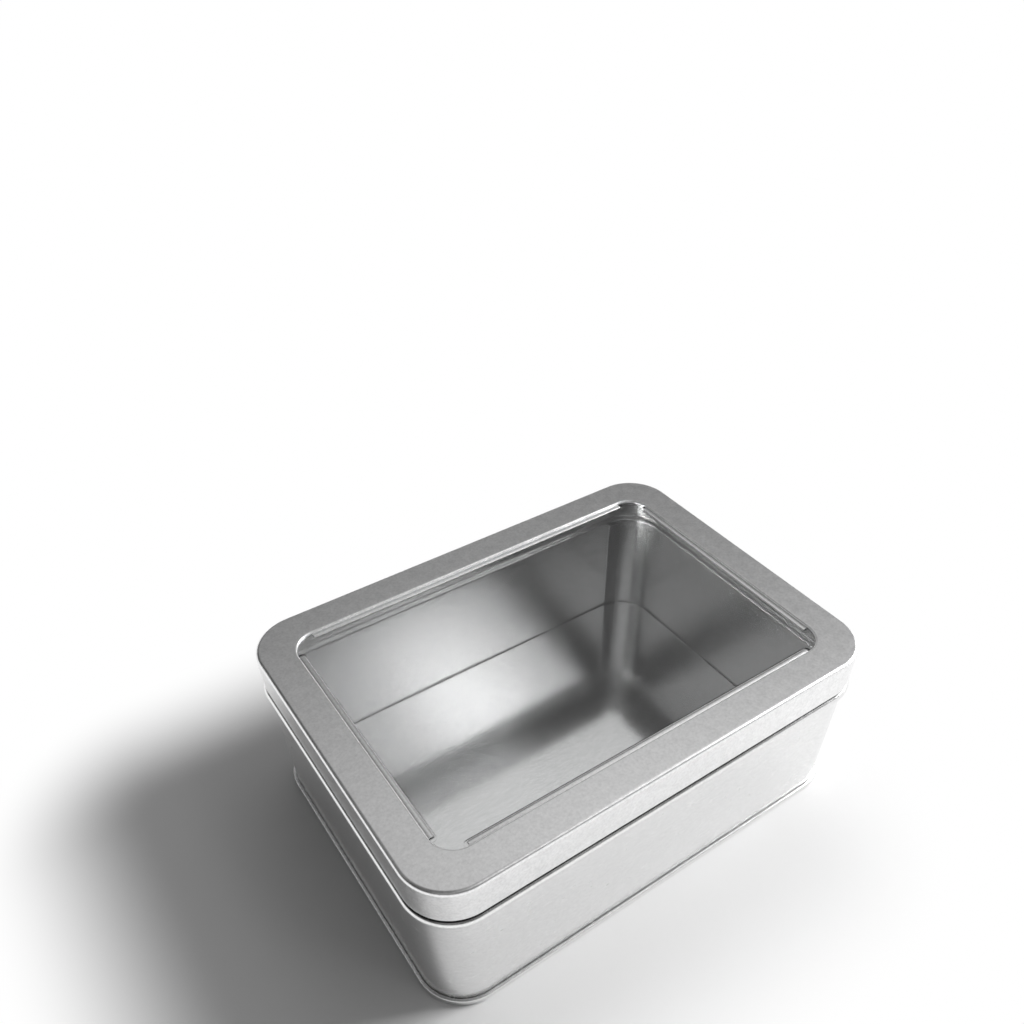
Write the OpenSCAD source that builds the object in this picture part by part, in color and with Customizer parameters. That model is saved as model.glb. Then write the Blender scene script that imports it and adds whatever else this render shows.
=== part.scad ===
// Rectangular tinplate box with rounded corners and a lift-off lid that has a clear window.
// Each piece is drawn as the folded sheet it is made from: a profile of straight runs and
// bends, carried round a rounded rectangle. Origin at the middle of the resting face, +Z up.

/* [Overall] */
// Length over the bead, along X
overall_l = 125; // [90:1:180]
// Width over the bead, along Y
overall_w = 92; // [70:1:140]
// Height with the lid closed
overall_h = 48; // [34:1:80]
// Corner radius at the bead
corner_r = 12.2; // [9:0.1:18]

/* [Tinplate] */
// Thickness of the tinplate
sheet = 0.28; // [0.2:0.01:0.32]
// Inside radius of a hem pressed nearly flat
hem_bend = 0.12; // [0.08:0.01:0.2]

/* [Body] */
// How far the rolled bead stands out from the wall
bead_out = 1.05; // [0.95:0.05:1.4]
// Radius of the hollow below the bead, where it runs into the wall
bead_fillet = 0.5; // [0.2:0.05:0.9]
// How far the neck is stepped in from the wall
neck_in = 0.6; // [0.4:0.05:1]
// Inside radius of the bend at the foot of the neck
neck_bend = 0.2; // [0.1:0.05:0.4]
// Length of the leg folded down inside the rim
rim_hem = 2; // [1:0.1:4]

/* [Lid] */
// Height of the lid's skirt with its hem
skirt_h = 10.25; // [7:0.25:15]
// Outside radius along the lid's top edge
top_r = 1; // [0.6:0.05:1.6]
// Inside radius of the hem along the skirt's lower edge
skirt_hem_bend = 0.16; // [0.1:0.01:0.22]
// Length of the leg folded up inside the skirt
skirt_hem = 1.2; // [0.8:0.1:3]

/* [Window] */
// Frame of metal left round the window, from the skirt's face to the window's edge
frame_w = 8.8; // [7:0.1:16]
// Corner radius of the window's edge
window_r = 6; // [4:0.1:12]
// Inside radius of the bend along the window's edge
edge_bend = 0.2; // [0.12:0.02:0.4]
// Inside radius of the hollow where a tab leaves the window's edge
hollow_bend = 0.06; // [0.04:0.01:0.2]
// How far a tab reaches into the window
tab_w = 1.5; // [1:0.1:2.5]
// Inside radius of the bend that turns a tab down through the pane
tab_bend = 0.08; // [0.05:0.01:0.2]
// Straight part of a tab's leg, between its two bends
leg_straight = 0.06; // [0.02:0.01:0.3]
// Inside radius of the bend that turns the leg out under the pane
flap_bend = 0.1; // [0.05:0.01:0.2]
// Reach of the flap folded outward under the pane
flap_w = 4; // [3:0.1:4.6]
// Thickness of the clear pane
pane_t = 0.3; // [0.2:0.02:0.4]
// How far the pane reaches outward past the window's edge
pane_reach = 4.2; // [3.8:0.1:5]
// Radius of the pane's own corners
pane_r = 7; // [4:0.5:12]
// Width of the slot that shows between a tab and the pane
slot_show = 0.16; // [0.1:0.02:0.6]

/* [Bottom] */
// Height of the folded seam round the foot
seam_h = 2; // [1.7:0.1:3]
// Height of the bottom panel's underside above the resting face
panel_rise = 1.65; // [1.1:0.05:4]
// Inside radius of the two bends at the foot
foot_bend = 0.2; // [0.15:0.01:0.3]
// Inside radius of the bend at the panel's edge
panel_bend = 0.3; // [0.15:0.05:0.45]

/* [Side seam] */
// Width of the side seam, measured round the corner
side_seam_w = 4; // [2:0.25:6]
// Distance of the side seam from the long wall, measured round the corner
side_seam_from_wall = 1; // [0:0.25:4]
// How far the side seam stands out on the outside
side_seam_out = 0.14; // [0.08:0.02:0.24]
// How far the side seam stands out on the inside
side_seam_in = 0.42; // [0.2:0.02:0.6]
// Gap between the side seam and the folds above and below it
side_seam_end = 0.6; // [0.2:0.1:2]

/* [Fits] */
// Clearance between the neck and the lid's hem
lid_gap = 0.22; // [0.1:0.02:0.4]
// Gap between the lid's hem and the top of the bead
skirt_gap = 0.32; // [0.15:0.01:0.8]
// Gap between the rim and the underside of the lid
rim_gap = 0.05; // [0.03:0.01:0.3]
// Gap between the layers of a folded seam
seam_gap = 0.03; // [0.02:0.01:0.06]
// Play of a tab on the outer side of its slot
slot_play = 0.1; // [0.05:0.05:0.3]

/* [Hidden] */

// Roundness of the corners, and of the small bends in the sheet
$fn = 96;
bend_fn = 48;

// Offsets of the faces from the outline over the bead, outward positive
wall_face = -bead_out;
neck_face = wall_face - neck_in;
lid_face = neck_face + lid_gap + 2 * (sheet + skirt_hem_bend);

// Bead: a half-round roll about the wall's inner face
bead_r = bead_out + sheet;
skirt_foot = overall_h - skirt_h;
shoulder_z = skirt_foot - skirt_gap;
bead_z = shoulder_z - bead_r;
bead_centre = [wall_face - sheet, bead_z];
fillet_centre = [
    wall_face + bead_fillet,
    bead_z - sqrt(pow(bead_r + bead_fillet, 2) - pow(sheet + bead_fillet, 2))
];

// Rim of the neck
rim_top = overall_h - sheet - rim_gap;
rim_bend_z = rim_top - sheet - hem_bend;

// Bottom seam: the wall's hook lies between the two legs of the bottom plate's hook
hook_bend = sheet / 2 + seam_gap;
wall_foot_z = 2 * sheet + seam_gap + hook_bend;
seam_bend_z = seam_h - sheet - hook_bend;
seam_face = wall_face + 3 * (sheet + seam_gap);
chuck_face = wall_face - sheet - seam_gap;
panel_edge = chuck_face - sheet - panel_bend;

// Window
lid_l = overall_l + 2 * lid_face;
lid_w = overall_w + 2 * lid_face;
window_l = lid_l - 2 * frame_w;
window_w = lid_w - 2 * frame_w;
edge_r = edge_bend + sheet;
edge_foot = overall_h - edge_r;
tab_top = edge_foot - hollow_bend;
tab_r = tab_bend + sheet;
leg_foot = tab_top - tab_r - leg_straight;
flap_top = leg_foot - flap_bend;
pane_foot = flap_top + seam_gap;
pane_top = pane_foot + pane_t;
lip_foot = pane_top + seam_gap;
slot_out = sheet + slot_play;
slot_in = tab_w + slot_show;
slot_w = slot_out + slot_in;

// Side seam, in degrees round a corner
wall_corner_r = corner_r + wall_face;
side_seam_start = 90 - (side_seam_from_wall + side_seam_w) / wall_corner_r * 180 / PI;
side_seam_turn = side_seam_w / wall_corner_r * 180 / PI;
side_seam_foot = seam_h + side_seam_end;
side_seam_top = fillet_centre.y - side_seam_end;

// Flat shape of a rectangle with rounded corners
module rounded(l, w, r) {
    square([l - 2 * r, w], center = true);
    square([l, w - 2 * r], center = true);
    for (x = [-1, 1], y = [-1, 1])
        translate([x * (l / 2 - r), y * (w / 2 - r)])
            circle(r = r);
}

// Quarter of a bend in the sheet, turned q quarter turns from the +x +y quarter
module bend(centre, r, q) {
    translate(centre)
        rotate(90 * q)
            intersection() {
                difference() {
                    circle(r = r + sheet, $fn = bend_fn);
                    circle(r = r, $fn = bend_fn);
                }
                square(r + sheet);
            }
}

// Straight run of sheet that stands upright, with its inner face at x
module upright(x, z_low, z_high) {
    translate([x, z_low])
        square([sheet, z_high - z_low]);
}

// Straight run of sheet that lies level, with its underside at z
module level(z, x_low, x_high) {
    translate([x_low, z])
        square([x_high - x_low, sheet]);
}

// Carries a profile round the four corners of a rounded rectangle
module round_corners(l, w, r) {
    for (k = [0:3])
        translate([
            (k == 0 || k == 3 ? 1 : -1) * (l / 2 - r),
            (k < 2 ? 1 : -1) * (w / 2 - r),
            0
        ])
            rotate(90 * k)
                rotate_extrude(angle = 90)
                    translate([r, 0])
                        children();
}

// Carries a profile along the four sides of a rounded rectangle, between its corners
module along_sides(l, w, r) {
    for (k = [0:3]) {
        on_end = k % 2 == 0;
        rotate(90 * k)
            translate([on_end ? l / 2 : w / 2, 0, 0])
                rotate([90, 0, 0])
                    linear_extrude((on_end ? w : l) - 2 * r, center = true)
                        children();
    }
}

// Carries a profile all round the outline over the bead
module round_outline() {
    round_corners(overall_l, overall_w, corner_r)
        children();
    along_sides(overall_l, overall_w, corner_r)
        children();
}

// Wall: hook at the foot, upright wall, rolled bead, shoulder, neck and folded rim
module wall_profile() {
    hook_face = wall_face + sheet + 2 * seam_gap;
    bend([wall_face + hook_bend, wall_foot_z], hook_bend, 2);
    bend([wall_face + hook_bend, wall_foot_z], hook_bend, 3);
    upright(hook_face, wall_foot_z, seam_bend_z);
    upright(wall_face - sheet, wall_foot_z, bead_z - bead_out);
    bend(bead_centre, bead_out, 0);
    bend(bead_centre, bead_out, 3);
    bead_fillet_profile();
    level(shoulder_z - sheet, neck_face + neck_bend, wall_face - sheet);
    bend([neck_face + neck_bend, shoulder_z + neck_bend], neck_bend, 2);
    upright(neck_face - sheet, shoulder_z + neck_bend, rim_bend_z);
    bend([neck_face - sheet - hem_bend, rim_bend_z], hem_bend, 0);
    bend([neck_face - sheet - hem_bend, rim_bend_z], hem_bend, 1);
    upright(neck_face - 2 * (sheet + hem_bend), rim_bend_z - rim_hem, rim_bend_z);
}

// Hollow curve that leads from the wall into the bead
module bead_fillet_profile() {
    difference() {
        polygon([
            [wall_face - sheet / 2, fillet_centre.y],
            fillet_centre,
            bead_centre
        ]);
        translate(fillet_centre)
            circle(r = bead_fillet, $fn = bend_fn);
        translate(bead_centre)
            circle(r = bead_r - sheet / 2, $fn = bend_fn);
    }
}

// Side seam: the two ends of the wall folded together near one corner
module side_seam() {
    translate([overall_l / 2 - corner_r, overall_w / 2 - corner_r, 0])
        rotate(side_seam_start)
            rotate_extrude(angle = side_seam_turn)
                translate([wall_corner_r - sheet - side_seam_in, side_seam_foot])
                    square([sheet + side_seam_in + side_seam_out, side_seam_top - side_seam_foot]);
}

module body_wall() {
    color("silver") {
        round_outline()
            wall_profile();
        side_seam();
    }
}

// Bottom plate's rim: bend at the panel, leg inside the wall, foot, leg outside and hook
module bottom_rim_profile() {
    inner_foot = chuck_face + foot_bend;
    outer_foot = seam_face - sheet - foot_bend;
    foot_z = sheet + foot_bend;
    hook_centre = wall_face + seam_gap + sheet + hook_bend;
    bend([panel_edge, panel_rise - panel_bend], panel_bend, 0);
    upright(chuck_face - sheet, foot_z, panel_rise - panel_bend);
    bend([inner_foot, foot_z], foot_bend, 2);
    level(0, inner_foot, outer_foot);
    bend([outer_foot, foot_z], foot_bend, 3);
    upright(seam_face - sheet, foot_z, seam_bend_z);
    bend([hook_centre, seam_bend_z], hook_bend, 0);
    bend([hook_centre, seam_bend_z], hook_bend, 1);
    upright(wall_face + seam_gap, wall_foot_z, seam_bend_z);
}

module bottom_plate() {
    color("gainsboro") {
        translate([0, 0, panel_rise])
            linear_extrude(sheet)
                rounded(overall_l + 2 * panel_edge, overall_w + 2 * panel_edge, corner_r + panel_edge);
        round_outline()
            bottom_rim_profile();
    }
}

// Lid's skirt: bend along the top edge, upright skirt and the hem folded up inside it
module skirt_profile() {
    hem_z = skirt_foot + sheet + skirt_hem_bend;
    hem_centre = lid_face - sheet - skirt_hem_bend;
    bend([lid_face - top_r, overall_h - top_r], top_r - sheet, 0);
    upright(lid_face - sheet, hem_z, overall_h - top_r);
    bend([hem_centre, hem_z], skirt_hem_bend, 3);
    bend([hem_centre, hem_z], skirt_hem_bend, 2);
    upright(lid_face - 2 * (sheet + skirt_hem_bend), hem_z, hem_z + skirt_hem);
}

// Lip bent down round the window's corners, as far as the pane
module lip_profile() {
    bend([edge_r, edge_foot], edge_bend, 1);
    upright(0, lip_foot, edge_foot);
}

// Tab along a side of the window: bent down at the edge, level into the window, down through
// its slot and folded outward under the pane
module tab_profile() {
    flap_centre = [sheet + flap_bend - tab_w, leg_foot];
    bend([edge_r, edge_foot], edge_bend, 1);
    bend([-hollow_bend, edge_foot], hollow_bend, 3);
    level(tab_top - sheet, tab_r - tab_w, -hollow_bend);
    bend([tab_r - tab_w, tab_top - tab_r], tab_bend, 1);
    upright(-tab_w, leg_foot, tab_top - tab_r);
    bend(flap_centre, flap_bend, 2);
    level(flap_top - sheet, flap_centre.x, flap_w - tab_w);
}

module lid_frame() {
    color("lightgray") {
        round_outline()
            skirt_profile();
        translate([0, 0, overall_h - sheet])
            linear_extrude(sheet)
                difference() {
                    rounded(lid_l - 2 * top_r, lid_w - 2 * top_r, corner_r + lid_face - top_r);
                    rounded(window_l + 2 * edge_r, window_w + 2 * edge_r, window_r + edge_r);
                }
        round_corners(window_l, window_w, window_r)
            lip_profile();
        along_sides(window_l, window_w, window_r)
            tab_profile();
    }
}

// Slot with round ends for one tab, along X
module slot(l) {
    square([l, slot_w], center = true);
    for (x = [-1, 1])
        translate([x * l / 2, 0])
            circle(r = slot_w / 2, $fn = bend_fn);
}

module window_pane() {
    slot_middle = (slot_out - slot_in) / 2;
    color("lightcyan", 0.35)
        translate([0, 0, pane_foot])
            linear_extrude(pane_t)
                difference() {
                    rounded(window_l + 2 * pane_reach, window_w + 2 * pane_reach, pane_r);
                    for (y = [-1, 1])
                        translate([0, y * (window_w / 2 + slot_middle)])
                            slot(window_l - 2 * window_r);
                    for (x = [-1, 1])
                        translate([x * (window_l / 2 + slot_middle), 0])
                            rotate(90)
                                slot(window_w - 2 * window_r);
                }
}

body_wall();
bottom_plate();
lid_frame();
window_pane();
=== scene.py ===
"""Looks of a rectangular tinplate box with a windowed lid: folded sheets, finishes and a small studio."""

import math

import bpy
import numpy as np
from mathutils import Matrix, Vector


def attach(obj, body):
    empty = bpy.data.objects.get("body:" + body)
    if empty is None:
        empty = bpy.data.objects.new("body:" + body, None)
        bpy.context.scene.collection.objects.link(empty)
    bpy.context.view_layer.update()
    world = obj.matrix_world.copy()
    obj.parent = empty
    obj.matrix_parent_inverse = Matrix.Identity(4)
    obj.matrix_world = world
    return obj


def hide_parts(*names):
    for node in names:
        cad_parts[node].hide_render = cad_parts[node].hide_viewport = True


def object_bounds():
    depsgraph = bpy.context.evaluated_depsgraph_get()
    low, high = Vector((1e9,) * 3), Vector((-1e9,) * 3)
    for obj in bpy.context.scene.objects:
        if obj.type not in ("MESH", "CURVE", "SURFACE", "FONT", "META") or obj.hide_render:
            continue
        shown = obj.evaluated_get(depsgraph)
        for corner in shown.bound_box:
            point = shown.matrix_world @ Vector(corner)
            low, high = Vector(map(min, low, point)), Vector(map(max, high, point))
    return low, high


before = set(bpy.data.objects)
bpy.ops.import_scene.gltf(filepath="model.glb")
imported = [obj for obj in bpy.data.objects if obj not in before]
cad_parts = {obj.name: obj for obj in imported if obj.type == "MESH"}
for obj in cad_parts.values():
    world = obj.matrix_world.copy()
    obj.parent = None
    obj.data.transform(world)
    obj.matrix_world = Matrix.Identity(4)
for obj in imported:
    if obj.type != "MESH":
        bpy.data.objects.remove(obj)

bl_info = {
    "name": "Windowed tin",
    "version": (1, 0, 0),
    "blender": (4, 5, 0),
    "location": "3D View > Sidebar > Tin",
    "description": "Folded sheets and finishes of a rectangular tin with a windowed lid",
    "category": "Add Mesh",
}

CAD_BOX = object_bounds()
MM = 0.001
BLACK, WHITE = (0, 0, 0, 1), (1, 1, 1, 1)
NOISE_RANGE = (0.3, 0.7)  # nearly all of a noise's values lie in it
CORNERS = ((1, 1), (-1, 1), (-1, -1), (1, -1))  # signs of X and Y at the corners, anticlockwise


def length(name, text, millimetres):
    """A length property that is written in millimetres and kept in metres."""
    return bpy.props.FloatProperty(
        name=name, description=text, default=millimetres * MM, min=0, unit="LENGTH", subtype="DISTANCE", precision=5
    )


def share(name, text, value):
    """A property from 0 to 1."""
    return bpy.props.FloatProperty(name=name, description=text, default=value, min=0, max=1, subtype="FACTOR")


def colour(name, text, value):
    """A linear colour property."""
    return bpy.props.FloatVectorProperty(
        name=name, description=text, default=value, min=0, max=1, size=3, subtype="COLOR"
    )


def brightness(name, text, value):
    """A brightness, where 1 is white."""
    return bpy.props.FloatProperty(name=name, description=text, default=value, min=0, soft_max=2)


def degrees(name, text, value):
    """An angle property that is written in degrees."""
    return bpy.props.FloatProperty(name=name, description=text, default=math.radians(value), subtype="ANGLE")


def number(name, text, value):
    """A plain number property."""
    return bpy.props.FloatProperty(name=name, description=text, default=value)


class TinSizes(bpy.types.PropertyGroup):
    """Sizes of the folds, the same as the solid model's. The tabs' crown and the panel's rim are only here."""

    corner_r: length("Corner radius", "Corner radius of the outline over the bead", 12.2)
    sheet: length("Tinplate", "Thickness of the tinplate", 0.28)
    hem_bend: length("Rim fold", "Inside radius of the fold at the rim", 0.12)
    bead_out: length("Bead", "How far the rolled bead stands out from the wall", 1.05)
    bead_fillet: length("Bead hollow", "Radius of the hollow below the bead", 0.5)
    neck_in: length("Neck step", "How far the neck is stepped in from the wall", 0.6)
    neck_bend: length("Neck bend", "Inside radius of the bend at the foot of the neck", 0.2)
    rim_hem: length("Rim leg", "Length of the leg folded down inside the rim", 2)
    skirt_h: length("Skirt height", "Height of the lid's skirt with its hem", 10.25)
    top_r: length("Lid edge", "Outside radius along the lid's top edge", 1)
    skirt_hem_bend: length("Skirt fold", "Inside radius of the hem along the skirt's lower edge", 0.16)
    skirt_hem: length("Skirt leg", "Length of the leg folded up inside the skirt", 1.2)
    frame_w: length("Frame", "Metal left round the window", 8.8)
    window_r: length("Window corner", "Corner radius of the window's edge", 6)
    edge_bend: length("Edge bend", "Inside radius of the bend along the window's edge", 0.2)
    hollow_bend: length("Tab hollow", "Inside radius of the hollow where a tab leaves the edge", 0.06)
    tab_w: length("Tab", "How far a tab reaches into the window", 1.5)
    tab_bend: length("Tab bend", "Inside radius of the bend that turns a tab down", 0.08)
    tab_crown: degrees("Tab crown", "Slope of a tab's slightly rounded top at its two edges", 18)
    leg_straight: length("Tab leg", "Straight part of a tab's leg, between its two bends", 0.06)
    flap_bend: length("Flap bend", "Inside radius of the bend that turns the leg out under the pane", 0.1)
    flap_w: length("Flap", "Reach of the flap folded outward under the pane", 4)
    pane_t: length("Pane", "Thickness of the clear pane", 0.3)
    seam_h: length("Foot seam", "Height of the folded seam round the foot", 2)
    panel_rise: length("Panel rise", "Height of the bottom panel's underside", 1.65)
    foot_bend: length("Foot bend", "Inside radius of the two bends at the foot", 0.2)
    panel_bend: length("Panel bend", "Inside radius of the bend at the panel's edge", 0.3)
    panel_rim: share("Panel rim", "Width of the panel's rim, as a share of the corner radius", 0.25)
    side_seam_w: length("Side seam width", "Width of the side seam round the corner", 4)
    side_seam_from_wall: length("Side seam place", "Distance of the side seam from the long wall", 1)
    side_seam_out: length("Side seam outside", "How far the side seam stands out on the outside", 0.14)
    side_seam_in: length("Side seam inside", "How far the side seam stands out on the inside", 0.42)
    side_seam_end: length("Side seam ends", "Gap from the side seam to the folds above and below it", 0.6)
    side_seam_round: share("Side seam edges", "Radius of the side seam's edges, as a share of its outside", 0.9)
    lid_gap: length("Lid clearance", "Clearance between the neck and the lid's hem", 0.22)
    skirt_gap: length("Skirt gap", "Gap between the lid's hem and the top of the bead", 0.32)
    rim_gap: length("Rim gap", "Gap between the rim and the underside of the lid", 0.05)
    seam_gap: length("Fold gap", "Gap between the layers of a folded seam", 0.03)


class TinFinish(bpy.types.PropertyGroup):
    """Colours, roughness and surface of the tinplate and the clear sheet."""

    metal: colour("Tinplate", "Colour of the bright tinplate", (0.86, 0.86, 0.86))
    lid_metal: colour("Lid", "Colour of the lid's tinplate", (0.90, 0.90, 0.90))
    outside_roughness: share("Outside roughness", "Roughness of the outer faces", 0.26)
    inside_roughness: share("Inside roughness", "Roughness of the inner faces", 0.25)
    lid_roughness: share("Lid roughness", "Roughness of the lid's outer faces", 0.30)
    floor_roughness: share("Floor roughness", "Roughness of the floor inside", 0.12)
    uneven: share("Uneven roughness", "How far the roughness varies about its mean, as a share", 0.06)
    speckle: share("Speckle", "How far the colour varies about its mean, as a share", 0.11)
    fine_share: share("Fine speckle", "Share of the fine grain in the colour's spots, the rest is the mottling", 0.65)
    # Painted shade: deep in the gap under the skirt the tinplate's colour is darkened nearly to black, standing in
    # for the shadow there.
    gap_painted_shade: share("Gap", "Share of the colour that is lost deep in the gap under the skirt", 0.97)
    grain: length("Grain", "Height of the rolling grain", 0.003)
    waves: length("Waves", "Height of the slow waves in the sheet", 0.02)
    ripple: length("Pane ripple", "Height of the ripple in the clear sheet", 0.005)
    pane_roughness: share("Pane roughness", "Roughness of the clear sheet", 0.02)
    pane_tint: colour("Pane tint", "Tint of the clear sheet", (0.985, 0.99, 0.99))
    pane_ior: number("Pane refraction", "Index of refraction of the clear sheet", 1.49)


class StudioSettings(bpy.types.PropertyGroup):
    """Floor, lamps, surroundings and camera. A height of a direction is the sine of its elevation."""

    floor_colour: colour("Floor", "Colour of the pale floor", (0.86, 0.86, 0.86))
    floor_radius: length("Floor radius", "Radius of the floor", 4000)
    floor_gap: length("Floor gap", "Gap between the foot and the floor", 0.02)
    white_start: length("White from", "Distance from the tin at which the floor begins to turn white", 6)
    white_end: length("White at", "Distance from the tin beyond which the floor is white", 50)
    shadow_side: length("Shadow side", "How far the part that keeps the shadow is moved to the left", 30)
    azimuth: degrees("Azimuth", "Direction that the camera looks in, clockwise from +Y", 34.876)
    elevation: degrees("Elevation", "How far the camera looks down", 46.213)
    distance: length("Distance", "Distance of the tin's middle along the camera's axis", 223.93)
    aside: length("Aside", "How far the tin's middle lies right of the camera's axis", 3.853)
    below: length("Below", "How far the tin's middle lies below the camera's axis", 7.413)
    lens: bpy.props.FloatProperty(
        name="Lens", description="Focal length of the camera", default=30.247, unit="CAMERA"
    )
    shift_x: number("Shift across", "Sideways shift of the lens", -0.02907)
    shift_y: number("Shift up", "Upward shift of the lens", 0.16340)
    key: brightness("Key", "Brightness of the key lamp at the right", 21.5)
    window: brightness("Window", "Brightness of the soft window in front", 1.2)
    slit: brightness("Slit", "Brightness of the narrow slit above the window", 6.5)
    card: brightness("Cards", "Brightness of the two faint cards at the left and the back", 0.27)
    backdrop_full: degrees("Backdrop", "Elevation up to which the surroundings are a white backdrop", 8)
    backdrop_end: degrees("Backdrop end", "Elevation at which the white backdrop has faded out", 20)
    world_low: brightness("Surroundings, low", "Brightness of the surroundings near the horizon", 0.127)
    world_high: brightness("Surroundings, high", "Brightness of the surroundings higher up", 0.90)
    world_left: share("Surroundings, left", "Share of the brightness that is left at the left", 0.15)
    world_top: share("Surroundings, top", "Share of the brightness that is left straight overhead", 0.3)
    high_from: number("High from", "Height of the direction at which the surroundings begin to brighten", 0.54)
    high_to: number("High at", "Height of the direction at which they have their full brightness", 0.9)
    left_from: number("Left at", "X of the direction at which the surroundings are darkest at the left", -0.5)
    left_to: number("Left from", "X of the direction past which nothing is lost at the left", 0.6)
    top_from: number("Top from", "Height of the direction at which the brightness begins to fall again", 0.88)
    top_to: number("Top at", "Height of the direction at which the share straight overhead is reached", 0.99)


def sizes():
    """The settings in the scene, and the offsets and heights that follow from them.

    An offset u is measured outward from the outline over the bead, as in the solid model."""
    s = bpy.context.scene.tin_sizes
    v = {name: getattr(s, name) for name in TinSizes.__annotations__}
    low, high = CAD_BOX
    v["overall_l"], v["overall_w"], v["overall_h"] = (high[i] - low[i] for i in range(3))
    t, gap = v["sheet"], v["seam_gap"]
    v["wall_face"] = -v["bead_out"]
    v["neck_face"] = v["wall_face"] - v["neck_in"]
    v["lid_face"] = v["neck_face"] + v["lid_gap"] + 2 * (t + v["skirt_hem_bend"])
    v["skirt_foot"] = v["overall_h"] - v["skirt_h"]
    v["shoulder_z"] = v["skirt_foot"] - v["skirt_gap"]
    v["bead_z"] = v["shoulder_z"] - v["bead_out"] - t
    reach, drop = v["bead_out"] + t + v["bead_fillet"], t + v["bead_fillet"]
    v["fillet_z"] = v["bead_z"] - math.sqrt(reach ** 2 - drop ** 2)
    v["fillet_turn"] = math.degrees(math.acos(drop / reach))
    v["rim_bend_z"] = v["overall_h"] - 2 * t - v["rim_gap"] - v["hem_bend"]
    v["hook_bend"] = t / 2 + gap
    v["wall_foot_z"] = 2 * t + gap + v["hook_bend"]
    v["seam_bend_z"] = v["seam_h"] - t - v["hook_bend"]
    v["seam_face"] = v["wall_face"] + 3 * (t + gap)
    v["chuck_face"] = v["wall_face"] - t - gap
    v["panel_edge"] = v["chuck_face"] - t - v["panel_bend"]
    v["lid_l"] = v["overall_l"] + 2 * v["lid_face"]
    v["lid_w"] = v["overall_w"] + 2 * v["lid_face"]
    v["window_l"] = v["lid_l"] - 2 * v["frame_w"]
    v["window_w"] = v["lid_w"] - 2 * v["frame_w"]
    v["edge_foot"] = v["overall_h"] - v["edge_bend"] - t
    v["leg_foot"] = v["edge_foot"] - v["hollow_bend"] - v["tab_bend"] - t - v["leg_straight"]
    v["lip_foot"] = v["leg_foot"] - v["flap_bend"] + v["pane_t"] + 2 * gap
    return v


def ramp(x, start, end):
    """0 before start, 1 past end, and 3k^2 - 2k^3 of the share k of the way between them."""
    k = np.clip((x - start) / (end - start), 0, 1)
    return k * k * (3 - 2 * k)


def run(distance, rows=1):
    """A straight run of the sheet, with that many rows of faces along it."""
    return ("run", distance, rows)


def bend(radius, turn, rows=8):
    """A bend of the sheet about its middle surface, to the left where the turn in degrees is positive."""
    return ("bend", radius, turn, rows)


def fold(start, heading, steps, edge=0.04 * MM):
    """Middle line of a folded sheet, walked from start in steps of straight runs and bends.

    A run adds distance times the heading. A bend of radius r about a centre at the side turns the heading and adds
    the arc from the centre. A run has a row close to each end, so that a bend's shading doesn't spread over it, and
    the first row is never nearer to its start than a quarter of that. Returns the points, the unit vectors to the
    left of the walk and the distance walked at each point."""
    point, angle, walked = np.array(start, float), math.radians(heading), 0.0
    points, lefts, marks = [point[None]], [np.array([[-math.sin(angle), math.cos(angle)]])], [np.array([0.0])]
    for step in steps:
        ahead = np.array([math.cos(angle), math.sin(angle)])
        left = np.array([-ahead[1], ahead[0]])
        if step[0] == "run":
            _, distance, rows = step
            inner = np.linspace(0, distance, rows + 1)[1:-1]
            s = np.concatenate([[edge], inner, [distance - edge, distance]])
            s = np.unique(np.clip(s, edge / 4, distance))
            points.append(point + s[:, None] * ahead)
            lefts.append(np.repeat(left[None], len(s), 0))
            marks.append(walked + s)
            walked += distance
        else:
            _, radius, turn, rows = step
            turn = math.radians(turn)
            side = math.copysign(1, turn)
            a = angle + np.linspace(0, turn, rows + 1)[1:]
            to_left = np.stack([-np.sin(a), np.cos(a)], 1)
            points.append(point + side * radius * (left - to_left))
            lefts.append(to_left)
            marks.append(walked + radius * np.abs(a - angle))
            walked += radius * abs(turn)
            angle += turn
        point = points[-1][-1]
    return np.concatenate(points), np.concatenate(lefts), np.concatenate(marks)


def thicken(points, lefts, marks, t):
    """Closed outline of a sheet of thickness t about its middle line: its left face, then its right face back.

    A mark is a number kept at each point, such as the distance walked. Returns the outline, its points' marks, and 1
    on the left face or 0 on the right one."""
    outline = np.concatenate([points + lefts * t / 2, (points - lefts * t / 2)[::-1]])
    left_face = np.repeat([1.0, 0.0], len(points))
    return outline, np.concatenate([marks, marks[::-1]]), left_face


def rounded_path(l, w, r, corner_rows=28, side_rows=(18, 14), edge=0.004):
    """A rounded rectangle of l by w with corners of radius r, as points and outward unit vectors, anticlockwise from
    the +X side. Each corner is a quarter circle about its centre and each side is straight between two of them.

    A side has a row close to each end, at that share of it."""
    points, outs = [], []
    for k, (sign_x, sign_y) in enumerate(CORNERS):
        a = math.radians(90 * k) + np.linspace(0, math.pi / 2, corner_rows + 1)
        out = np.stack([np.cos(a), np.sin(a)], 1)
        middle = np.array([l / 2 - r, w / 2 - r])
        arc = middle * (sign_x, sign_y) + r * out
        to = middle * CORNERS[(k + 1) % 4] + r * out[-1]
        inner = np.linspace(0, 1, side_rows[k % 2] + 1)[1:-1]
        s = np.concatenate([[edge], inner, [1 - edge]])[:, None]
        points += [arc, arc[-1] * (1 - s) + to * s]
        outs += [out, np.repeat(out[-1][None], len(s), 0)]
    return np.concatenate(points), np.concatenate(outs)


def grid_faces(rows, columns, closed_rows=True, closed_columns=True):
    """Four-sided faces between the points of a grid, joined round where a direction is closed."""
    i = np.arange(rows if closed_rows else rows - 1)
    j = np.arange(columns if closed_columns else columns - 1)
    i, j = (g.ravel() for g in np.meshgrid(i, j, indexing="ij"))
    i2, j2 = (i + 1) % rows, (j + 1) % columns
    return np.stack([i * columns + j, i2 * columns + j, i2 * columns + j2, i * columns + j2], 1)


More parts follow.
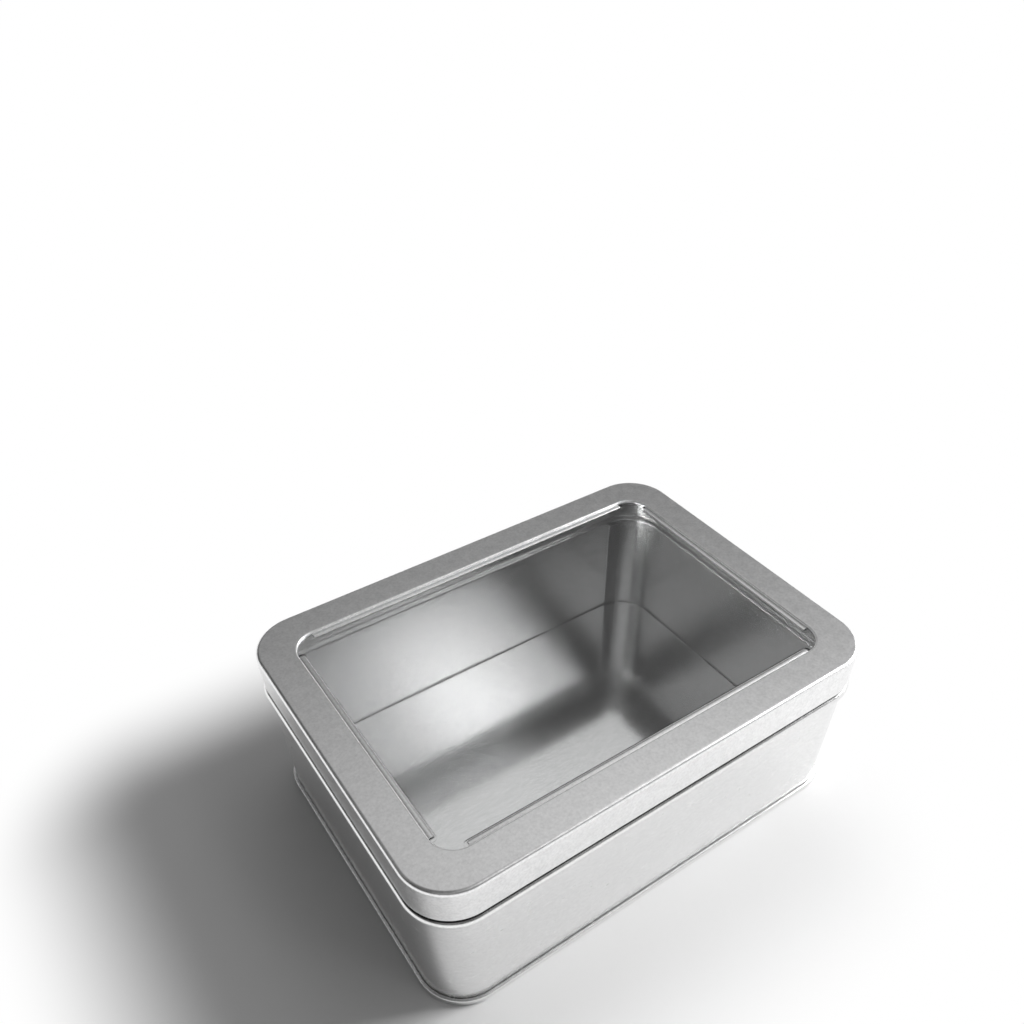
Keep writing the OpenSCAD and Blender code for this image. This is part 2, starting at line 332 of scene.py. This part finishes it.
def fan_faces(middle, ring):
    """Three-sided faces from the middle's number to a closed ring of point numbers."""
    return np.stack([np.full(len(ring), middle), ring, np.roll(ring, -1)], 1)


def faces_volume(points, faces):
    """Volume inside closed faces, positive where they face outward: the sum of signed tetrahedra to the origin."""
    total = 0.0
    for k in range(1, faces.shape[1] - 1):
        a, b, c = points[faces[:, 0]], points[faces[:, k]], points[faces[:, k + 1]]
        total += float(np.einsum("ij,ij->i", a, np.cross(b, c)).sum()) / 6
    return total


def make_piece(name, shells, body, nodes, material, sharp=40):
    """One mesh of several shells, each a dict of points, faces and the values that its material reads.

    A shell may have caps, flat faces of other numbers of corners that close it. Its values are "inside", 1 on the
    tin's inner face, and "gap", 1 deep in the gap under the skirt, where the material paints shade, and 0 where a
    shell doesn't say. The piece stands for the CAD nodes and rides on their body. Shells are turned to face outward.
    Edges sharper than sharp, in degrees, aren't smoothed."""
    count, polygons = 0, []
    for shell in shells:
        p, f = shell["points"], shell["faces"]
        caps = [np.array(c) for c in shell.get("caps", [])]
        volume = faces_volume(p, f) + sum(faces_volume(p, c[None]) for c in caps)
        turn = slice(None, None, -1) if volume < 0 else slice(None)
        polygons += (f[:, turn] + count).tolist() + [(c[turn] + count).tolist() for c in caps]
        count += len(p)
    mesh = bpy.data.meshes.new(name)
    mesh.from_pydata(np.concatenate([s["points"] for s in shells]), [], polygons)
    # The "gap" values mark where the tinplate paints shade under the skirt.
    for label in ("inside", "gap"):
        values = np.concatenate([s.get(label, np.zeros(len(s["points"]))) for s in shells])
        mesh.attributes.new(label, "FLOAT", "POINT").data.foreach_set("value", values.astype(np.float32))
    mesh.validate()
    mesh.shade_smooth()
    mesh.set_sharp_from_angle(angle=math.radians(sharp))
    mesh.materials.append(material)
    piece = bpy.data.objects.new(name, mesh)
    bpy.context.scene.collection.objects.link(piece)
    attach(piece, body)
    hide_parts(*nodes)


def carry(outline, line, outs):
    """Grid of points of an outline of offsets and heights at each point of a line: point plus offset times the
    outward vector there."""
    xy = line[None] + outline[:, 0][:, None, None] * outs[None]
    return np.concatenate([xy, np.repeat(outline[:, 1][:, None, None], len(line), 1)], 2)


def closed_shell(points, **values):
    """Shell of a grid of points that is closed both ways, with one value for each row."""
    rows, columns = points.shape[:2]
    spread = {label: np.repeat(each, columns) for label, each in values.items()}
    return {"points": points.reshape(-1, 3), "faces": grid_faces(rows, columns), **spread}


def capped_shell(points, **values):
    """Shell of a grid of points that is closed round its rows, with a flat cap at each end."""
    rows, columns = points.shape[:2]
    numbers = np.arange(rows * columns).reshape(rows, columns)
    faces = grid_faces(rows, columns, closed_columns=False)
    return {**closed_shell(points, **values), "faces": faces, "caps": [numbers[:, 0][::-1], numbers[:, -1]]}


def outline_path(v):
    """The outline over the bead."""
    return rounded_path(v["overall_l"], v["overall_w"], v["corner_r"])


def wall_shell(v):
    """The wall: hook at the foot, upright wall, hollow, rolled bead, shoulder, neck, and the leg inside the rim.

    The gap under the skirt, where the tinplate paints shade, is counted on the outer face, from half a sheet outside
    the lid's face to half a sheet inside it, and from three sheets above the shoulder down to it."""
    t = v["sheet"]
    hook_u = v["wall_face"] + t + 2 * v["seam_gap"] + t / 2
    steps = [
        run(v["seam_bend_z"] - v["wall_foot_z"]),
        bend(v["hook_bend"] + t / 2, -180),
        run(v["fillet_z"] - v["wall_foot_z"], rows=12),
        bend(v["bead_fillet"] + t / 2, -v["fillet_turn"]),
        bend(v["bead_out"] + t / 2, v["fillet_turn"] + 90, rows=20),
        run(v["wall_face"] - t - v["neck_face"] - v["neck_bend"]),
        bend(v["neck_bend"] + t / 2, -90),
        run(v["rim_bend_z"] - v["shoulder_z"] - v["neck_bend"], rows=4),
        bend(v["hem_bend"] + t / 2, 180, rows=12),
        run(v["rim_hem"], rows=2),
    ]
    outline, _, left_face = thicken(*fold((hook_u, v["seam_bend_z"]), -90, steps), t)
    u, z = outline.T
    # Painted shade: the gap mask on the outer face of the shoulder and bead top under the skirt.
    under_lid = ramp(u, v["lid_face"] + 0.5 * t, v["lid_face"] - 0.5 * t) * (z > v["bead_z"]) * (1 - left_face)
    gap = under_lid * ramp(z, v["shoulder_z"] + 3 * t, v["shoulder_z"])
    return closed_shell(carry(outline, *outline_path(v)), inside=left_face, gap=gap)


def side_seam_shell(v, rows=7):
    """The side seam: a flat band, rounded at its edges, laid round part of one corner of the wall.

    Its section is a rounded rectangle across the wall's thickness, of distances s round the corner and offsets u,
    and it follows the corner's arc."""
    r = v["corner_r"] + v["wall_face"]
    low, high = -v["sheet"] - v["side_seam_in"], v["side_seam_out"]
    z_low, z_high = v["seam_h"] + v["side_seam_end"], v["fillet_z"] - v["side_seam_end"]
    round_r = v["side_seam_out"] * v["side_seam_round"]
    end = math.pi / 2 - v["side_seam_from_wall"] / r
    arcs = []
    for k, (sign_s, sign_u) in enumerate(CORNERS):
        a = np.linspace(0, math.pi / 2, rows) + k * math.pi / 2
        s = sign_s * (v["side_seam_w"] / 2 - round_r) + round_r * np.cos(a)
        u = (high + low) / 2 + sign_u * ((high - low) / 2 - round_r) + round_r * np.sin(a)
        arcs.append(np.stack([s, u], 1))
    s, u = np.concatenate(arcs).T
    angle = end + (s - v["side_seam_w"] / 2) / r
    centre = np.array([v["overall_l"] / 2 - v["corner_r"], v["overall_w"] / 2 - v["corner_r"]])
    xy = centre + (r + u)[:, None] * np.stack([np.cos(angle), np.sin(angle)], 1)
    z = np.array([z_low, z_low + round_r, z_high - round_r, z_high])
    points = np.concatenate([np.repeat(xy[:, None], len(z), 1), np.repeat(z[None, :, None], len(xy), 0)], 2)
    return capped_shell(points, inside=(u < 0).astype(float))


def bottom_shell(v, rings=11):
    """The bottom plate: a flat panel whose rings shrink to its middle, then the leg inside the wall, the foot, the
    leg outside and the hook that is folded down behind it."""
    t = v["sheet"]
    inner_foot, outer_foot = v["chuck_face"] + v["foot_bend"], v["seam_face"] - t - v["foot_bend"]
    foot_z = t + v["foot_bend"]
    start_u = v["panel_edge"] - v["corner_r"] * v["panel_rim"]
    steps = [
        run(v["panel_edge"] - start_u, rows=2),
        bend(v["panel_bend"] + t / 2, -90, rows=10),
        run(v["panel_rise"] - v["panel_bend"] - foot_z),
        bend(v["foot_bend"] + t / 2, 90),
        run(outer_foot - inner_foot),
        bend(v["foot_bend"] + t / 2, 90, rows=10),
        run(v["seam_bend_z"] - foot_z),
        bend(v["hook_bend"] + t / 2, 180, rows=12),
        run(v["seam_bend_z"] - v["wall_foot_z"]),
    ]
    outline, _, left_face = thicken(*fold((start_u, v["panel_rise"] + t / 2), 0, steps), t)
    folded = carry(outline, *outline_path(v))
    shrink = np.linspace(1, 0, rings + 2)[1:-1][:, None, None]
    top, under = folded[0], folded[-1]
    poles = np.array([[0, 0, top[0, 2]], [0, 0, under[0, 2]]])
    discs = [edge * [1, 1, 0] * shrink + pole for edge, pole in zip((top, under), poles)]
    grid = np.concatenate([discs[0][::-1], folded, discs[1]])
    rows, columns = grid.shape[:2]
    first, last = np.arange(columns), (rows - 1) * columns + np.arange(columns)
    extra = rings * columns
    inside = [np.ones(extra), np.repeat(left_face, columns), np.zeros(extra), [1.0, 0.0]]
    return {
        "points": np.concatenate([grid.reshape(-1, 3), poles]),
        "faces": grid_faces(rows, columns, closed_rows=False),
        "caps": [*fan_faces(rows * columns, first), *fan_faces(rows * columns + 1, last)[:, ::-1]],
        "inside": np.concatenate(inside),
    }


def lid_shell(v, flat_rows=4):
    """The lid's frame: leg inside the skirt, hem, skirt, rounded edge, flat frame, and the lip round the window.

    Up to the flat frame a point is carried round the outline over the bead, and past it round the window; between the
    two it is mixed from both by the share k. The gap under the skirt, where the tinplate paints shade on the hem, is
    counted from one and a half sheets above the skirt's foot down to 0.8 of a sheet above it."""
    t = v["sheet"]
    hem_z = v["skirt_foot"] + t + v["skirt_hem_bend"]
    start_u = v["lid_face"] - 2 * (t + v["skirt_hem_bend"]) + t / 2
    outer, outer_lefts, _ = fold((start_u, hem_z + v["skirt_hem"]), -90, [
        run(v["skirt_hem"]),
        bend(v["skirt_hem_bend"] + t / 2, 180, rows=12),
        run(v["overall_h"] - v["top_r"] - hem_z, rows=6),
        bend(v["top_r"] - t / 2, 90, rows=14),
        run(t),
    ])
    inner, inner_lefts, _ = fold((v["edge_bend"] + 2 * t, v["overall_h"] - t / 2), 180, [
        run(t),
        bend(v["edge_bend"] + t / 2, 90, rows=12),
        run(v["edge_foot"] - v["lip_foot"]),
    ])
    share_inner = np.linspace(0, 1, flat_rows + 2)[1:-1]
    outer_part = np.concatenate([outer, np.repeat(outer[-1:], flat_rows, 0)])
    lefts = np.concatenate([outer_lefts, np.repeat(outer_lefts[-1:], flat_rows, 0), inner_lefts])
    heights = np.concatenate([outer_part[:, 1], inner[:, 1]])
    from_outline = np.concatenate([outer_part[:, 0], np.repeat(outer[-1, 0], len(inner))])
    from_window = np.concatenate([np.repeat(inner[0, 0], len(outer_part)), inner[:, 0]])
    k = np.concatenate([np.zeros(len(outer)), share_inner, np.ones(len(inner))])
    round_outline, k, left_face = thicken(np.stack([from_outline, heights], 1), lefts, k, t)
    round_window, _, _ = thicken(np.stack([from_window, heights], 1), lefts, heights, t)
    k, z = k[:, None, None], round_outline[:, 1]
    window_path = rounded_path(v["window_l"], v["window_w"], v["window_r"])
    points = (1 - k) * carry(round_outline, *outline_path(v)) + k * carry(round_window, *window_path)
    # Painted shade: the gap mask on the hem's lower bend along the skirt's foot.
    return closed_shell(points, inside=left_face, gap=ramp(z, v["skirt_foot"] + 1.5 * t, v["skirt_foot"] + 0.8 * t))


def tab_shells(v, rows=8):
    """The four tabs: each leaves the window's edge in a small hollow, lies level with a slight crown, goes down
    through its slot and is folded outward under the pane.

    The crown is an arc of twice its slope c; its radius follows from the tab's width less the two bends' widths,
    which are their radii times 1 + sin c and 1 - sin c."""
    t, crown = v["sheet"], v["tab_crown"]
    hollow_r, bend_r, c = v["hollow_bend"] + t / 2, v["tab_bend"] + t / 2, math.degrees(crown)
    crown_w = v["tab_w"] - hollow_r * (1 + math.sin(crown)) - bend_r * (1 - math.sin(crown))
    outline, marks, left_face = thicken(*fold((t / 2, v["edge_foot"]), -90, [
        bend(hollow_r, -90 - c),
        bend(crown_w / (2 * math.sin(crown)), 2 * c, rows=10),
        bend(bend_r, 90 - c),
        run(v["leg_straight"] + (hollow_r + bend_r) * (1 - math.cos(crown))),
        bend(v["flap_bend"] + t / 2, 90, rows=6),
        run(v["flap_w"] - t - v["flap_bend"]),
    ]), t)
    inside = np.where(marks > v["tab_w"], 1.0, left_face)
    hx, hy, r = v["window_l"] / 2, v["window_w"] / 2, v["window_r"]
    s = np.linspace(0, 1, rows + 1)[:, None]
    shells = []
    for start, end, out in (
        ((hx, -hy + r), (hx, hy - r), (1, 0)),
        ((hx - r, hy), (-hx + r, hy), (0, 1)),
        ((-hx, hy - r), (-hx, -hy + r), (-1, 0)),
        ((-hx + r, -hy), (hx - r, -hy), (0, -1)),
    ):
        line = np.array(start) * (1 - s) + np.array(end) * s
        shells.append(capped_shell(carry(outline, line, np.array([out])), inside=inside))
    return shells


def set_inputs(node, inputs):
    """Links each input that is given as a socket, and sets any other to its value."""
    for name, value in inputs.items():
        if isinstance(value, bpy.types.NodeSocket):
            node.id_data.links.new(value, node.inputs[name])
        else:
            node.inputs[name].default_value = value


def add_node(tree, kind, inputs=None, **settings):
    """A new node with its settings and inputs."""
    node = tree.nodes.new(kind)
    for name, value in settings.items():
        setattr(node, name, value)
    set_inputs(node, inputs or {})
    return node


def calculate(tree, operation, first, second):
    """Socket with the result of an operation on two sockets or numbers."""
    return add_node(tree, "ShaderNodeMath", {0: first, 1: second}, operation=operation).outputs["Value"]


def vector_math(tree, operation, *vectors):
    """Output sockets of an operation on one or two vectors."""
    return add_node(tree, "ShaderNodeVectorMath", dict(enumerate(vectors)), operation=operation).outputs


def map_range(tree, value, before, after, kind="LINEAR"):
    """Socket with a value carried over from the range before to the range after, and kept inside it."""
    inputs = {"Value": value, "From Min": before[0], "From Max": before[1], "To Min": after[0], "To Max": after[1]}
    return add_node(tree, "ShaderNodeMapRange", inputs, interpolation_type=kind).outputs["Result"]


def noise(tree, vector, scale, detail=2.0):
    """Socket with a smooth noise of about so many lumps per metre of the vector."""
    return add_node(tree, "ShaderNodeTexNoise", {"Vector": vector, "Scale": scale, "Detail": detail}).outputs["Fac"]


def attribute(tree, name):
    """Socket with the piece's own values of that name."""
    return add_node(tree, "ShaderNodeAttribute", attribute_name=name).outputs["Fac"]


def own_place(tree):
    """Socket with the place in the piece's own coordinates."""
    return tree.nodes.new("ShaderNodeTexCoord").outputs["Object"]


def new_material(name):
    """A material with its node tree and its shader, linked to the output."""
    material = bpy.data.materials.new(name)
    material.use_nodes = True
    tree = material.node_tree
    tree.nodes.clear()
    shader = tree.nodes.new("ShaderNodeBsdfPrincipled")
    add_node(tree, "ShaderNodeOutputMaterial", {"Surface": shader.outputs["BSDF"]})
    return material, tree, shader


def mix_into_output(tree, factor, shader, other):
    """Shows the other shader's output socket in place of the shader by the factor."""
    mix = add_node(tree, "ShaderNodeMixShader", {"Fac": factor, 1: shader.outputs["BSDF"], 2: other})
    output = next(n for n in tree.nodes if n.type == "OUTPUT_MATERIAL")
    set_inputs(output, {"Surface": mix.outputs["Shader"]})


def sheet_group():
    """Node group of the tinplate's surface: slow waves, a fine rolling grain and a faint mottling.

    All three are noises, and the last two are drawn out along the sheet. The waves and the grain, each times its
    height, add up to one height."""
    group = bpy.data.node_groups.new("Rolled sheet", "ShaderNodeTree")
    for name in ("Waves", "Grain", "Stretch across", "Stretch up"):
        group.interface.new_socket(name, in_out="INPUT", socket_type="NodeSocketFloat")
    for name in ("Height", "Mottle", "Speckle"):
        group.interface.new_socket(name, in_out="OUTPUT", socket_type="NodeSocketFloat")
    given = group.nodes.new("NodeGroupInput").outputs
    place = own_place(group)
    stretch = {"X": 1.0, "Y": given["Stretch across"], "Z": given["Stretch up"]}
    stretch = add_node(group, "ShaderNodeCombineXYZ", stretch).outputs["Vector"]
    drawn = vector_math(group, "MULTIPLY", place, stretch)["Vector"]
    waves = noise(group, place, scale=28.0, detail=1.0)
    grain = noise(group, drawn, scale=1700.0)
    mottle = noise(group, drawn, scale=420.0, detail=4.0)
    slow = calculate(group, "MULTIPLY", waves, given["Waves"])
    fine = calculate(group, "MULTIPLY", grain, given["Grain"])
    height = calculate(group, "ADD", slow, fine)
    add_node(group, "NodeGroupOutput", {"Height": height, "Mottle": mottle, "Speckle": grain})
    return group


def tinplate(name, base, outside, inside, stretch):
    """Bright tinplate: a metal with waves and grain, whose colour and roughness vary a little from place to place.

    The roughness is given for the outer and the inner faces. The surface's pattern is drawn out along the sheet by
    its stretch, the factors across and up that it is shortened by. Deep in the gap under the skirt the colour is
    darkened nearly to black: painted shade, standing in for the shadow in that gap."""
    finish = bpy.context.scene.tin_finish
    material, tree, shader = new_material(name)
    group = bpy.data.node_groups.get("Rolled sheet") or sheet_group()
    inputs = {"Waves": finish.waves, "Grain": finish.grain, "Stretch across": stretch[0], "Stretch up": stretch[1]}
    sheet = add_node(tree, "ShaderNodeGroup", inputs, node_tree=group).outputs
    bump = add_node(tree, "ShaderNodeBump", {"Distance": 1.0, "Height": sheet["Height"]})
    spots = {"Factor": finish.fine_share, "A": sheet["Mottle"], "B": sheet["Speckle"]}
    spots = add_node(tree, "ShaderNodeMix", spots).outputs["Result"]
    spots = map_range(tree, spots, NOISE_RANGE, (0, 1))
    dull, bright = ([c * (1 + side * finish.speckle) for c in base] + [1] for side in (-1, 1))
    tone = add_node(tree, "ShaderNodeMixRGB", {"Fac": spots, "Color1": dull, "Color2": bright})
    # Painted shade: deep in the gap under the skirt the colour is mixed towards black.
    lost = calculate(tree, "MULTIPLY", attribute(tree, "gap"), finish.gap_painted_shade)
    tone = add_node(tree, "ShaderNodeMixRGB", {"Fac": lost, "Color1": tone.outputs["Color"], "Color2": BLACK})
    rough = map_range(tree, attribute(tree, "inside"), (0, 1), (outside, inside))
    uneven = map_range(tree, sheet["Mottle"], NOISE_RANGE, (1 - finish.uneven, 1 + finish.uneven))
    set_inputs(shader, {
        "Metallic": 1.0,
        "Base Color": tone.outputs["Color"],
        "Roughness": calculate(tree, "MULTIPLY", rough, uneven),
        "Normal": bump.outputs["Normal"],
    })
    return material


def clear_sheet():
    """Clear plastic film: glass-like, with lamps' light let through by a plain see-through shader on shadow rays.

    A slow ripple moves its normal, and its roughness from half its value to one and a half."""
    finish = bpy.context.scene.tin_finish
    material, tree, shader = new_material("Clear_sheet")
    tint, rough = (*finish.pane_tint, 1), finish.pane_roughness
    ripple = noise(tree, own_place(tree), scale=40.0)
    bump = add_node(tree, "ShaderNodeBump", {"Distance": finish.ripple, "Height": ripple})
    set_inputs(shader, {
        "Base Color": tint,
        "Transmission Weight": 1.0,
        "IOR": finish.pane_ior,
        "Roughness": map_range(tree, ripple, (0, 1), (0.5 * rough, 1.5 * rough)),
        "Normal": bump.outputs["Normal"],
    })
    through = add_node(tree, "ShaderNodeBsdfTransparent", {"Color": tint})
    shadow_ray = tree.nodes.new("ShaderNodeLightPath").outputs["Is Shadow Ray"]
    mix_into_output(tree, shadow_ray, shader, through.outputs["BSDF"])
    return material


class TIN_OT_body(bpy.types.Operator):
    """Makes the wall of the tin with its bead, neck and side seam"""

    bl_idname = "tin.body"
    bl_label = "Wall"

    def execute(self, context):
        v, finish = sizes(), context.scene.tin_finish
        metal = tinplate("Body_tinplate", finish.metal, finish.outside_roughness, finish.inside_roughness, (1, 4))
        make_piece("tin_wall", [wall_shell(v), side_seam_shell(v)], "base", ["body_wall"], metal)
        return {"FINISHED"}


class TIN_OT_bottom(bpy.types.Operator):
    """Makes the bottom plate with its folded foot seam"""

    bl_idname = "tin.bottom"
    bl_label = "Bottom"

    def execute(self, context):
        v, finish = sizes(), context.scene.tin_finish
        metal = tinplate("Bottom_tinplate", finish.metal, finish.outside_roughness, finish.floor_roughness, (4, 4))
        make_piece("tin_bottom", [bottom_shell(v)], "base", ["bottom_plate"], metal)
        return {"FINISHED"}


class TIN_OT_lid(bpy.types.Operator):
    """Makes the lid's frame with its skirt, lip and tabs"""

    bl_idname = "tin.lid"
    bl_label = "Lid"

    def execute(self, context):
        v, finish = sizes(), context.scene.tin_finish
        metal = tinplate("Lid_tinplate", finish.lid_metal, finish.lid_roughness, finish.inside_roughness, (1, 1))
        make_piece("lid_sheet", [lid_shell(v)] + tab_shells(v), "lid", ["lid_frame"], metal)
        return {"FINISHED"}


class TIN_OT_pane(bpy.types.Operator):
    """Gives the clear pane its finish"""

    bl_idname = "tin.pane"
    bl_label = "Pane"

    def execute(self, context):
        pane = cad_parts["window_pane"]
        pane.data.materials.clear()
        pane.data.materials.append(clear_sheet())
        return {"FINISHED"}


class TIN_OT_studio(bpy.types.Operator):
    """Makes the pale floor, the lamps, the surroundings and the camera"""

    bl_idname = "tin.studio"
    bl_label = "Studio"

    def execute(self, context):
        studio = context.scene.tin_studio
        make_floor(studio)
        make_lamps(studio)
        make_world(studio)
        make_camera(studio)
        context.scene.view_settings.view_transform = "Standard"
        return {"FINISHED"}


def make_floor(studio, rings=24, columns=96):
    """The floor, a flat disc: rings of points whose radius grows with the square of the ring's number."""
    radius = studio.floor_radius * np.linspace(0, 1, rings + 1)[1:] ** 2
    a = np.linspace(0, 2 * math.pi, columns + 1)[:-1]
    circle = np.stack([np.cos(a), np.sin(a), 0 * a], 1)
    points = np.concatenate([(radius[:, None, None] * circle).reshape(-1, 3), [[0, 0, 0]]])
    faces = grid_faces(rings, columns, closed_rows=False).tolist()
    fan = fan_faces(rings * columns, np.arange(columns)).tolist()
    mesh = bpy.data.meshes.new("floor")
    mesh.from_pydata(points, [], faces + fan)
    floor = bpy.data.objects.new("floor", mesh)
    bpy.context.scene.collection.objects.link(floor)
    floor.location.z = CAD_BOX[0][2] - studio.floor_gap
    material, tree, shader = new_material("Pale_floor")
    set_inputs(shader, {"Base Color": (*studio.floor_colour, 1), "Roughness": 0.9, "Specular IOR Level": 0.1})
    whiten(tree, shader, studio)
    mesh.materials.append(material)


def seen_rays(tree):
    """Socket that is 1 for camera, glossy and transmission rays: what the eye, metal and glass see.

    It is 0 once the path has left a matt surface, so that the white lights nothing."""
    kind = tree.nodes.new("ShaderNodeLightPath").outputs
    seen = kind["Is Camera Ray"]
    for name in ("Is Glossy Ray", "Is Transmission Ray"):
        seen = calculate(tree, "MAXIMUM", seen, kind[name])
    return calculate(tree, "MULTIPLY", seen, calculate(tree, "LESS_THAN", kind["Diffuse Depth"], 0.5))


def whiten(tree, shader, studio):
    """Turns the floor into a plain white backdrop away from the tin, for what the eye, metal and glass see of it.

    The share of white rises from 0 to 1 between two distances from the tin's outline, which is moved to the left,
    where the shadow falls. The distance is the length of what is left of the place's size in X and Y past the
    outline. Rays that carry light see the plain floor everywhere."""
    outline = (CAD_BOX[1][0], CAD_BOX[1][1], 0)
    moved = vector_math(tree, "SUBTRACT", own_place(tree), (-studio.shadow_side, 0, 0))["Vector"]
    size = vector_math(tree, "ABSOLUTE", moved)["Vector"]
    past = vector_math(tree, "SUBTRACT", size, outline)["Vector"]
    past = vector_math(tree, "MAXIMUM", past, (0, 0, 0))["Vector"]
    far = vector_math(tree, "LENGTH", past)["Value"]
    white = map_range(tree, far, (studio.white_start, studio.white_end), (0, 1), "SMOOTHSTEP")
    factor = calculate(tree, "MULTIPLY", white, seen_rays(tree))
    glow = add_node(tree, "ShaderNodeEmission", {"Color": WHITE, "Strength": 1.0})
    mix_into_output(tree, factor, shader, glow.outputs["Emission"])


def direction(azimuth, elevation):
    """Unit vector at an azimuth, in radians clockwise from +Y, and an elevation."""
    level = math.cos(elevation)
    return Vector((math.sin(azimuth) * level, math.cos(azimuth) * level, math.sin(elevation)))


def make_lamp(name, bright, size, azimuth, elevation, distance):
    """An area lamp turned to the tin. Size and distance are in metres, azimuth and elevation in degrees.

    Its power is its brightness times pi times its area."""
    data = bpy.data.lights.new(name, "AREA")
    data.shape = "RECTANGLE"
    data.size, data.size_y = size
    data.energy = bright * math.pi * size[0] * size[1]
    lamp = bpy.data.objects.new(name, data)
    lamp.location = direction(math.radians(azimuth), math.radians(elevation)) * distance
    lamp.rotation_mode = "QUATERNION"
    lamp.rotation_quaternion = lamp.location.to_track_quat("Z", "Y")
    bpy.context.scene.collection.objects.link(lamp)


def make_lamps(studio):
    """The key lamp at the right, a soft window in front with a bright slit above it, and two faint cards that the
    inner walls mirror."""
    make_lamp("key_lamp", studio.key, size=(0.24, 0.24), azimuth=109, elevation=30, distance=0.6)
    make_lamp("window_lamp", studio.window, size=(0.20, 0.16), azimuth=154, elevation=44.5, distance=1.1)
    make_lamp("slit_lamp", studio.slit, size=(0.13, 0.036), azimuth=150.5, elevation=50, distance=1.1)
    make_lamp("left_card", studio.card, size=(0.50, 0.34), azimuth=-137, elevation=41, distance=1)
    make_lamp("back_card", studio.card, size=(0.30, 0.20), azimuth=-53, elevation=43, distance=1)


def make_world(studio):
    """Soft surroundings: brightness rises with the height of the direction, falls off towards the left, and falls
    again straight overhead. Near the horizon the eye, metal and glass see a white backdrop instead."""
    world = bpy.data.worlds.new("Studio")
    bpy.context.scene.world = world
    world.use_nodes = True
    tree = world.node_tree
    tree.nodes.clear()
    place = tree.nodes.new("ShaderNodeTexCoord").outputs["Generated"]
    axes = add_node(tree, "ShaderNodeSeparateXYZ", {"Vector": place}).outputs
    reach = math.sin(studio.backdrop_full), math.sin(studio.backdrop_end)
    height, side, top, backdrop = (
        map_range(tree, axes[axis], before, after, "SMOOTHSTEP")
        for axis, before, after in (
            ("Z", (studio.high_from, studio.high_to), (studio.world_low, studio.world_high)),
            ("X", (studio.left_from, studio.left_to), (studio.world_left, 1.0)),
            ("Z", (studio.top_from, studio.top_to), (1.0, studio.world_top)),
            ("Z", reach, (1.0, 0.0)),
        )
    )
    strength = calculate(tree, "MULTIPLY", calculate(tree, "MULTIPLY", height, side), top)
    factor = calculate(tree, "MULTIPLY", backdrop, seen_rays(tree))
    whole = add_node(tree, "ShaderNodeMix", {"Factor": factor, "A": strength, "B": 1.0}).outputs["Result"]
    background = add_node(tree, "ShaderNodeBackground", {"Color": WHITE, "Strength": whole})
    add_node(tree, "ShaderNodeOutputWorld", {"Surface": background.outputs["Background"]})


def make_camera(studio):
    """The camera looks along its azimuth and down by its elevation, and stands so that the tin's middle lies at the
    given distance along its axis, and as far aside and below it as given."""
    ahead = direction(studio.azimuth, -studio.elevation)
    right = direction(studio.azimuth + math.pi / 2, 0)
    up = right.cross(ahead)
    middle = (Vector(CAD_BOX[0]) + Vector(CAD_BOX[1])) / 2
    data = bpy.data.cameras.new("camera")
    data.sensor_width = 36.0
    data.lens = studio.lens
    data.shift_x, data.shift_y = studio.shift_x, studio.shift_y
    data.clip_start, data.clip_end = 0.01, 20
    camera = bpy.data.objects.new("camera", data)
    turn = Matrix((right, up, -ahead)).transposed()
    place = middle - ahead * studio.distance - right * studio.aside + up * studio.below
    camera.matrix_world = Matrix.Translation(place) @ turn.to_4x4()
    bpy.context.scene.collection.objects.link(camera)
    bpy.context.scene.camera = camera


class VIEW3D_PT_tin(bpy.types.Panel):
    """Sidebar panel with the tin's pieces and settings"""

    bl_idname = "VIEW3D_PT_tin"
    bl_label = "Windowed tin"
    bl_space_type = "VIEW_3D"
    bl_region_type = "UI"
    bl_category = "Tin"

    def draw(self, context):
        layout = self.layout
        for operator in OPERATORS:
            layout.operator(operator.bl_idname)
        for group in (context.scene.tin_sizes, context.scene.tin_finish, context.scene.tin_studio):
            box = layout.box()
            for name in type(group).__annotations__:
                box.prop(group, name)


GROUPS = (TinSizes, TinFinish, StudioSettings)
OPERATORS = (TIN_OT_body, TIN_OT_bottom, TIN_OT_lid, TIN_OT_pane, TIN_OT_studio)


def register():
    """Registers the settings, the operators and the panel."""
    for item in (*GROUPS, *OPERATORS, VIEW3D_PT_tin):
        bpy.utils.register_class(item)
    bpy.types.Scene.tin_sizes = bpy.props.PointerProperty(type=TinSizes)
    bpy.types.Scene.tin_finish = bpy.props.PointerProperty(type=TinFinish)
    bpy.types.Scene.tin_studio = bpy.props.PointerProperty(type=StudioSettings)


def unregister():
    """Removes what register added."""
    del bpy.types.Scene.tin_sizes, bpy.types.Scene.tin_finish, bpy.types.Scene.tin_studio
    for item in reversed((*GROUPS, *OPERATORS, VIEW3D_PT_tin)):
        bpy.utils.unregister_class(item)


def main():
    """Makes every piece and the studio in order."""
    register()
    for step in (bpy.ops.tin.body, bpy.ops.tin.bottom, bpy.ops.tin.lid, bpy.ops.tin.pane, bpy.ops.tin.studio):
        if step() != {"FINISHED"}:
            raise RuntimeError(f"{step.idname()} didn't finish")


if __name__ == "__main__":
    main()
